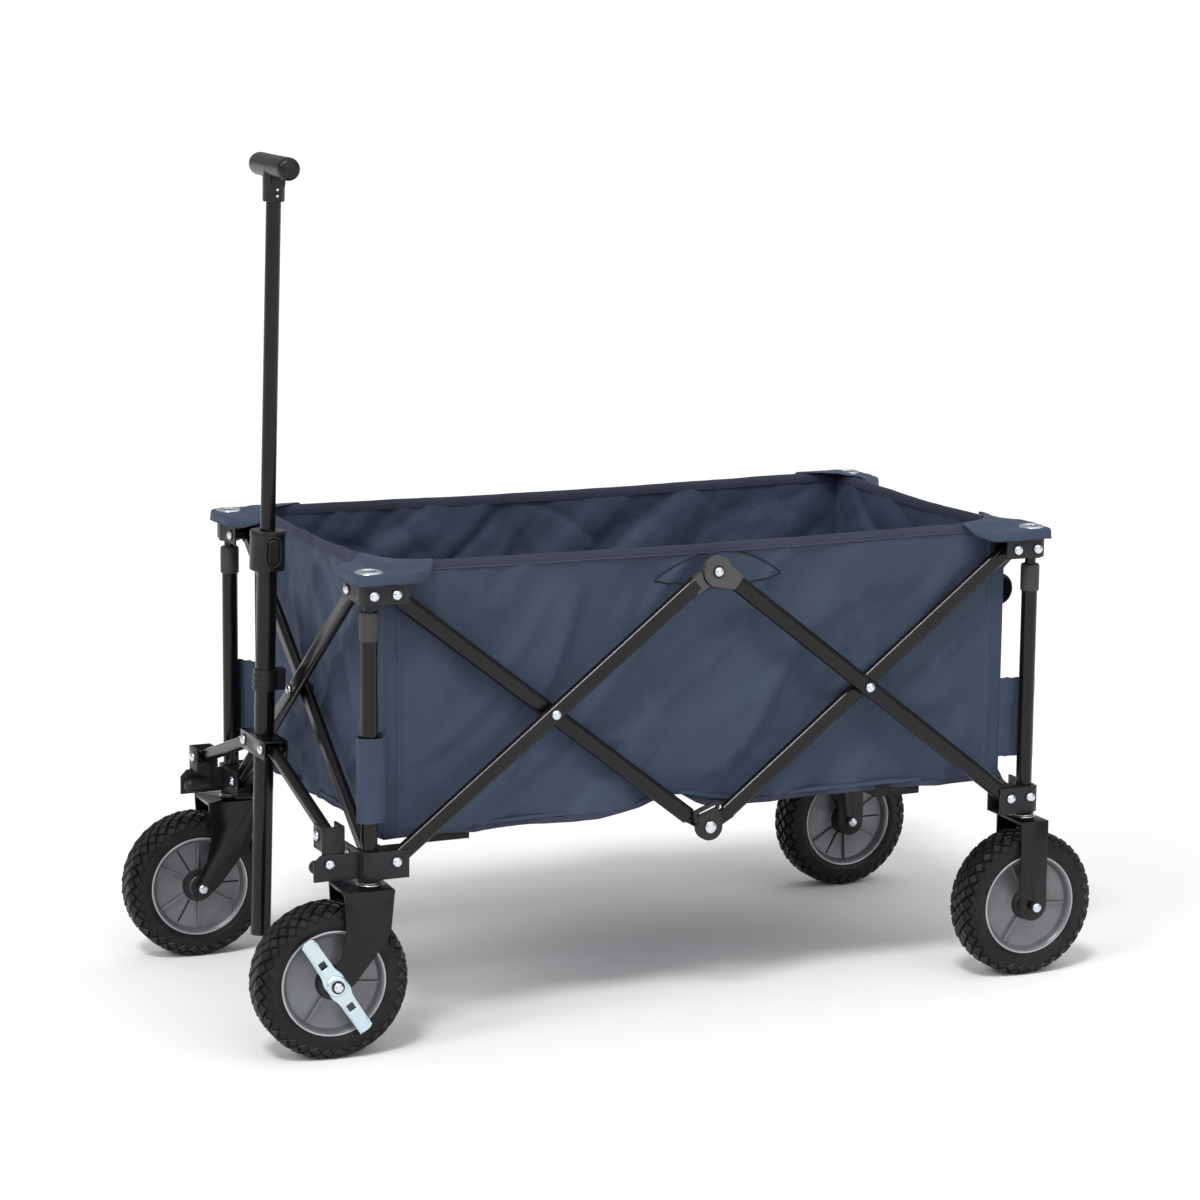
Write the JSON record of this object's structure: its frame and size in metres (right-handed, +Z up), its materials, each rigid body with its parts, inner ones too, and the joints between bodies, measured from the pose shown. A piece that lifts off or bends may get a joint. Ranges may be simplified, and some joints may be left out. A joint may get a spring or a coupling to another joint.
{
  "type": "folding wagon with pull handle",
  "caption": "Fabric-sided cargo wagon on a scissor frame that folds in length and width, with swivelling front wheels, brake levers and a telescoping pull handle.",
  "frame": {"origin": "on the floor, under the middle of the wagon box", "axes": "+X forward towards the pull handle, +Y to the wagon's left, +Z up"},
  "size_m": [1.0766, 0.5439, 0.9963],
  "materials": {
    "frame_black": "gloss black powder coat",
    "bracket_grey": "satin dark grey coat",
    "collar_black": "matt",
    "clamp_black": "satin",
    "tyre": "smooth with a patterned tread",
    "rim_grey": "satin grey",
    "lever_zinc": "bluish zinc plate",
    "basket_fabric": "woven"
  },
  "bodies": {
    "front_left_corner": {"front_left_bottom_bracket": "bracket_grey", "front_left_lower_post": "frame_black"},
    "front_left_top": {"front_left_top_bracket": "bracket_grey", "front_left_inner_post": "frame_black", "basket_left_wall": "basket_fabric", "basket_front_wall": "basket_fabric"},
    "front_left_caster": {"front_left_fork": "frame_black"},
    "front_left_wheel": {"front_left_rim": "rim_grey", "front_left_tyre": "tyre"},
    "front_left_outer_arm": {"front_left_outer_arm": "frame_black"},
    "front_left_inner_arm": {"front_left_inner_arm": "frame_black"},
    "front_left_cross_arm": {"front_left_cross_arm": "frame_black"},
    "front_right_corner": {"front_right_bottom_bracket": "bracket_grey", "front_right_lower_post": "frame_black"},
    "front_right_top": {"front_right_top_bracket": "bracket_grey", "front_right_inner_post": "frame_black", "basket_right_wall": "basket_fabric"},
    "front_right_caster": {"front_right_fork": "frame_black"},
    "front_right_wheel": {"front_right_rim": "rim_grey", "front_right_tyre": "tyre"},
    "front_right_outer_arm": {"front_right_outer_arm": "frame_black"},
    "front_right_inner_arm": {"front_right_inner_arm": "frame_black"},
    "front_right_cross_arm": {"front_right_cross_arm": "frame_black"},
    "rear_left_corner": {"rear_left_bottom_bracket": "bracket_grey", "rear_left_lower_post": "frame_black", "rear_left_fork": "frame_black"},
    "rear_left_top": {"rear_left_top_bracket": "bracket_grey", "rear_left_inner_post": "frame_black", "basket_rear_wall": "basket_fabric"},
    "rear_left_wheel": {"rear_left_rim": "rim_grey", "rear_left_tyre": "tyre"},
    "rear_left_outer_arm": {"rear_left_outer_arm": "frame_black"},
    "rear_left_inner_arm": {"rear_left_inner_arm": "frame_black"},
    "rear_left_cross_arm": {"rear_left_cross_arm": "frame_black"},
    "rear_right_corner": {"rear_right_bottom_bracket": "bracket_grey", "rear_right_lower_post": "frame_black", "rear_right_fork": "frame_black"},
    "rear_right_top": {"rear_right_top_bracket": "bracket_grey", "rear_right_inner_post": "frame_black"},
    "rear_right_wheel": {"rear_right_rim": "rim_grey", "rear_right_tyre": "tyre"},
    "rear_right_outer_arm": {"rear_right_outer_arm": "frame_black"},
    "rear_right_inner_arm": {"rear_right_inner_arm": "frame_black"},
    "rear_right_cross_arm": {"rear_right_cross_arm": "frame_black"},
    "left_brake_lever": {"left_brake_lever": "lever_zinc"},
    "left_hitch": {"left_hitch": "frame_black"},
    "left_link": {"left_link": "frame_black"},
    "right_brake_lever": {"right_brake_lever": "lever_zinc"},
    "right_hitch": {"right_hitch": "frame_black"},
    "right_link": {"right_link": "frame_black"},
    "handle": {"handle_bracket": "frame_black", "handle_outer_tube": "frame_black", "handle_clip": "clamp_black", "handle_clamp": "clamp_black"},
    "handle_button": {"handle_button": "clamp_black"},
    "handle_inner": {"handle_inner_tube": "frame_black", "handle_grip": "clamp_black"},
    "left_floor": {"basket_left_floor": "basket_fabric"},
    "right_floor": {"basket_right_floor": "basket_fabric"}
  },
  "joints": [
    {"name": "fold", "type": "hinge", "parent": "front_left_corner", "child": "front_left_outer_arm", "pos_m": [0.374, 0.2405, 0.2215], "axis": [0, 1, 0], "range_deg": [0, 40], "deforming": ["basket_left_wall", "basket_right_wall", "basket_front_wall", "basket_rear_wall", "basket_left_floor", "basket_right_floor"]},
    {"name": "left_upper_hinge", "type": "hinge", "parent": "front_left_outer_arm", "child": "rear_left_outer_arm", "pos_m": [-0.024, 0.2405, 0.526], "axis": [0, 1, 0], "range_deg": [-80, 0]},
    {"name": "left_rear_lower_pivot", "type": "hinge", "parent": "rear_left_outer_arm", "child": "rear_left_corner", "pos_m": [-0.422, 0.2405, 0.2215], "axis": [0, 1, 0], "range_deg": [0, 40]},
    {"name": "left_front_crossing", "type": "hinge", "parent": "front_left_outer_arm", "child": "front_left_inner_arm", "pos_m": [0.1785, 0.2325, 0.37375], "axis": [0, 1, 0], "range_deg": [-80, 0]},
    {"name": "left_rear_crossing", "type": "hinge", "parent": "rear_left_outer_arm", "child": "rear_left_inner_arm", "pos_m": [-0.2265, 0.2325, 0.37375], "axis": [0, 1, 0], "range_deg": [0, 80]},
    {"name": "left_front_upper_pivot", "type": "hinge", "parent": "front_left_inner_arm", "child": "front_left_top", "pos_m": [0.374, 0.227, 0.526], "axis": [0, 1, 0], "range_deg": [0, 40]},
    {"name": "left_rear_upper_pivot", "type": "hinge", "parent": "rear_left_inner_arm", "child": "rear_left_top", "pos_m": [-0.422, 0.227, 0.526], "axis": [0, 1, 0], "range_deg": [-40, 0]},
    {"name": "front_end_left_pivot", "type": "hinge", "parent": "front_left_corner", "child": "front_left_cross_arm", "pos_m": [0.3905, 0.1955, 0.2215], "axis": [1, 0, 0], "range_deg": [-40, 0]},
    {"name": "front_end_crossing", "type": "hinge", "parent": "front_left_cross_arm", "child": "front_right_cross_arm", "pos_m": [0.401, 0, 0.37375], "axis": [1, 0, 0], "range_deg": [0, 80]},
    {"name": "rear_end_left_pivot", "type": "hinge", "parent": "rear_left_corner", "child": "rear_left_cross_arm", "pos_m": [-0.4385, 0.1955, 0.2215], "axis": [1, 0, 0], "range_deg": [-40, 0]},
    {"name": "rear_end_crossing", "type": "hinge", "parent": "rear_left_cross_arm", "child": "rear_right_cross_arm", "pos_m": [-0.449, 0, 0.37375], "axis": [1, 0, 0], "range_deg": [0, 80]},
    {"name": "front_end_right_pivot", "type": "hinge", "parent": "front_right_cross_arm", "child": "front_right_corner", "pos_m": [0.404, -0.1955, 0.2215], "axis": [1, 0, 0], "range_deg": [-40, 0]},
    {"name": "right_front_lower_pivot", "type": "hinge", "parent": "front_right_corner", "child": "front_right_outer_arm", "pos_m": [0.374, -0.2405, 0.2215], "axis": [0, 1, 0], "range_deg": [0, 40]},
    {"name": "right_upper_hinge", "type": "hinge", "parent": "front_right_outer_arm", "child": "rear_right_outer_arm", "pos_m": [-0.024, -0.2405, 0.526], "axis": [0, 1, 0], "range_deg": [-80, 0]},
    {"name": "right_rear_lower_pivot", "type": "hinge", "parent": "rear_right_outer_arm", "child": "rear_right_corner", "pos_m": [-0.422, -0.2405, 0.2215], "axis": [0, 1, 0], "range_deg": [0, 40]},
    {"name": "right_front_crossing", "type": "hinge", "parent": "front_right_outer_arm", "child": "front_right_inner_arm", "pos_m": [0.1785, -0.2325, 0.37375], "axis": [0, 1, 0], "range_deg": [-80, 0]},
    {"name": "right_rear_crossing", "type": "hinge", "parent": "rear_right_outer_arm", "child": "rear_right_inner_arm", "pos_m": [-0.2265, -0.2325, 0.37375], "axis": [0, 1, 0], "range_deg": [0, 80]},
    {"name": "right_front_upper_pivot", "type": "hinge", "parent": "front_right_inner_arm", "child": "front_right_top", "pos_m": [0.374, -0.227, 0.526], "axis": [0, 1, 0], "range_deg": [0, 40]},
    {"name": "right_rear_upper_pivot", "type": "hinge", "parent": "rear_right_inner_arm", "child": "rear_right_top", "pos_m": [-0.422, -0.227, 0.526], "axis": [0, 1, 0], "range_deg": [-40, 0]},
    {"name": "handle_tilt", "type": "hinge", "parent": "front_left_corner", "child": "left_hitch", "pos_m": [0.448, 0.23, 0.2215], "axis": [0, 1, 0], "range_deg": [0, 65]},
    {"name": "right_hitch_tilt", "type": "hinge", "parent": "front_right_corner", "child": "right_hitch", "pos_m": [0.448, -0.23, 0.2215], "axis": [0, 1, 0], "range_deg": [0, 65]},
    {"name": "left_link_pivot", "type": "hinge", "parent": "left_hitch", "child": "left_link", "pos_m": [0.4425, 0.214, 0.2516], "axis": [1, 0, 0], "range_deg": [-59.9, 0]},
    {"name": "left_link_to_bracket", "type": "hinge", "parent": "left_link", "child": "handle", "pos_m": [0.4425, 0.0297, 0.3116], "axis": [1, 0, 0], "range_deg": [0, 59.9]},
    {"name": "right_link_pivot", "type": "hinge", "parent": "right_hitch", "child": "right_link", "pos_m": [0.4425, -0.214, 0.2516], "axis": [1, 0, 0], "range_deg": [0, 59.9]},
    {"name": "handle_slide", "type": "slide", "parent": "handle", "child": "handle_inner", "axis": [-0.0248, 0, 0.9997], "range_m": [-0.36, 0]},
    {"name": "handle_release", "type": "slide", "parent": "handle", "child": "handle_button", "axis": [0, -1, 0], "range_m": [0, 0.003], "stiffness_N_per_m": 400, "springref_m": -0.0005},
    {"name": "front_left_swivel", "type": "hinge", "parent": "front_left_corner", "child": "front_left_caster", "pos_m": [0.401, 0.2325, 0.2], "axis": [0, 0, 1], "continuous": true},
    {"name": "front_left_roll", "type": "hinge", "parent": "front_left_caster", "child": "front_left_wheel", "pos_m": [0.44888, 0.22915, 0.089], "axis": [0.0698, 0.9976, 0], "continuous": true},
    {"name": "left_brake", "type": "hinge", "parent": "front_left_caster", "child": "left_brake_lever", "pos_m": [0.45115, 0.26157, 0.089], "axis": [0.0698, 0.9976, 0], "range_deg": [-15, 15]},
    {"name": "rear_left_roll", "type": "hinge", "parent": "rear_left_corner", "child": "rear_left_wheel", "pos_m": [-0.449, 0.2325, 0.089], "axis": [0, 1, 0], "continuous": true},
    {"name": "left_floor_fold", "type": "hinge", "parent": "front_left_top", "child": "left_floor", "pos_m": [-0.024, 0.207, 0.247], "axis": [1, 0, 0], "range_deg": [-74.4, 0]},
    {"name": "front_right_swivel", "type": "hinge", "parent": "front_right_corner", "child": "front_right_caster", "pos_m": [0.401, -0.2325, 0.2], "axis": [0, 0, 1], "continuous": true},
    {"name": "front_right_roll", "type": "hinge", "parent": "front_right_caster", "child": "front_right_wheel", "pos_m": [0.44897, -0.23417, 0.089], "axis": [0.0349, 0.9994, 0], "continuous": true},
    {"name": "right_brake", "type": "hinge", "parent": "front_right_caster", "child": "right_brake_lever", "pos_m": [0.44784, -0.26665, 0.089], "axis": [0.0349, 0.9994, 0], "range_deg": [-15, 15]},
    {"name": "rear_right_roll", "type": "hinge", "parent": "rear_right_corner", "child": "rear_right_wheel", "pos_m": [-0.449, -0.2325, 0.089], "axis": [0, 1, 0], "continuous": true},
    {"name": "right_floor_fold", "type": "hinge", "parent": "front_right_top", "child": "right_floor", "pos_m": [-0.024, -0.207, 0.247], "axis": [1, 0, 0], "range_deg": [0, 74.4]}
  ],
  "couplings": [
    {"joint": "left_upper_hinge", "follows": "fold", "ratio": -2},
    {"joint": "left_rear_lower_pivot", "follows": "fold", "ratio": 1},
    {"joint": "left_front_crossing", "follows": "fold", "ratio": -2},
    {"joint": "left_rear_crossing", "follows": "fold", "ratio": 2},
    {"joint": "left_front_upper_pivot", "follows": "fold", "ratio": 1},
    {"joint": "left_rear_upper_pivot", "follows": "fold", "ratio": -1},
    {"joint": "front_end_left_pivot", "follows": "fold", "ratio": -1},
    {"joint": "front_end_crossing", "follows": "fold", "ratio": 2},
    {"joint": "rear_end_left_pivot", "follows": "fold", "ratio": -1},
    {"joint": "rear_end_crossing", "follows": "fold", "ratio": 2},
    {"joint": "front_end_right_pivot", "follows": "fold", "ratio": -1},
    {"joint": "right_front_lower_pivot", "follows": "fold", "ratio": 1},
    {"joint": "right_upper_hinge", "follows": "fold", "ratio": -2},
    {"joint": "right_rear_lower_pivot", "follows": "fold", "ratio": 1},
    {"joint": "right_front_crossing", "follows": "fold", "ratio": -2},
    {"joint": "right_rear_crossing", "follows": "fold", "ratio": 2},
    {"joint": "right_front_upper_pivot", "follows": "fold", "ratio": 1},
    {"joint": "right_rear_upper_pivot", "follows": "fold", "ratio": -1},
    {"joint": "right_hitch_tilt", "follows": "handle_tilt", "ratio": 1},
    {"joint": "left_link_pivot", "follows": "fold", "ratio": -1.4975},
    {"joint": "left_link_to_bracket", "follows": "fold", "ratio": 1.4975},
    {"joint": "right_link_pivot", "follows": "fold", "ratio": 1.4975},
    {"joint": "left_floor_fold", "follows": "fold", "ratio": -1.86},
    {"joint": "right_floor_fold", "follows": "fold", "ratio": 1.86}
  ]
}
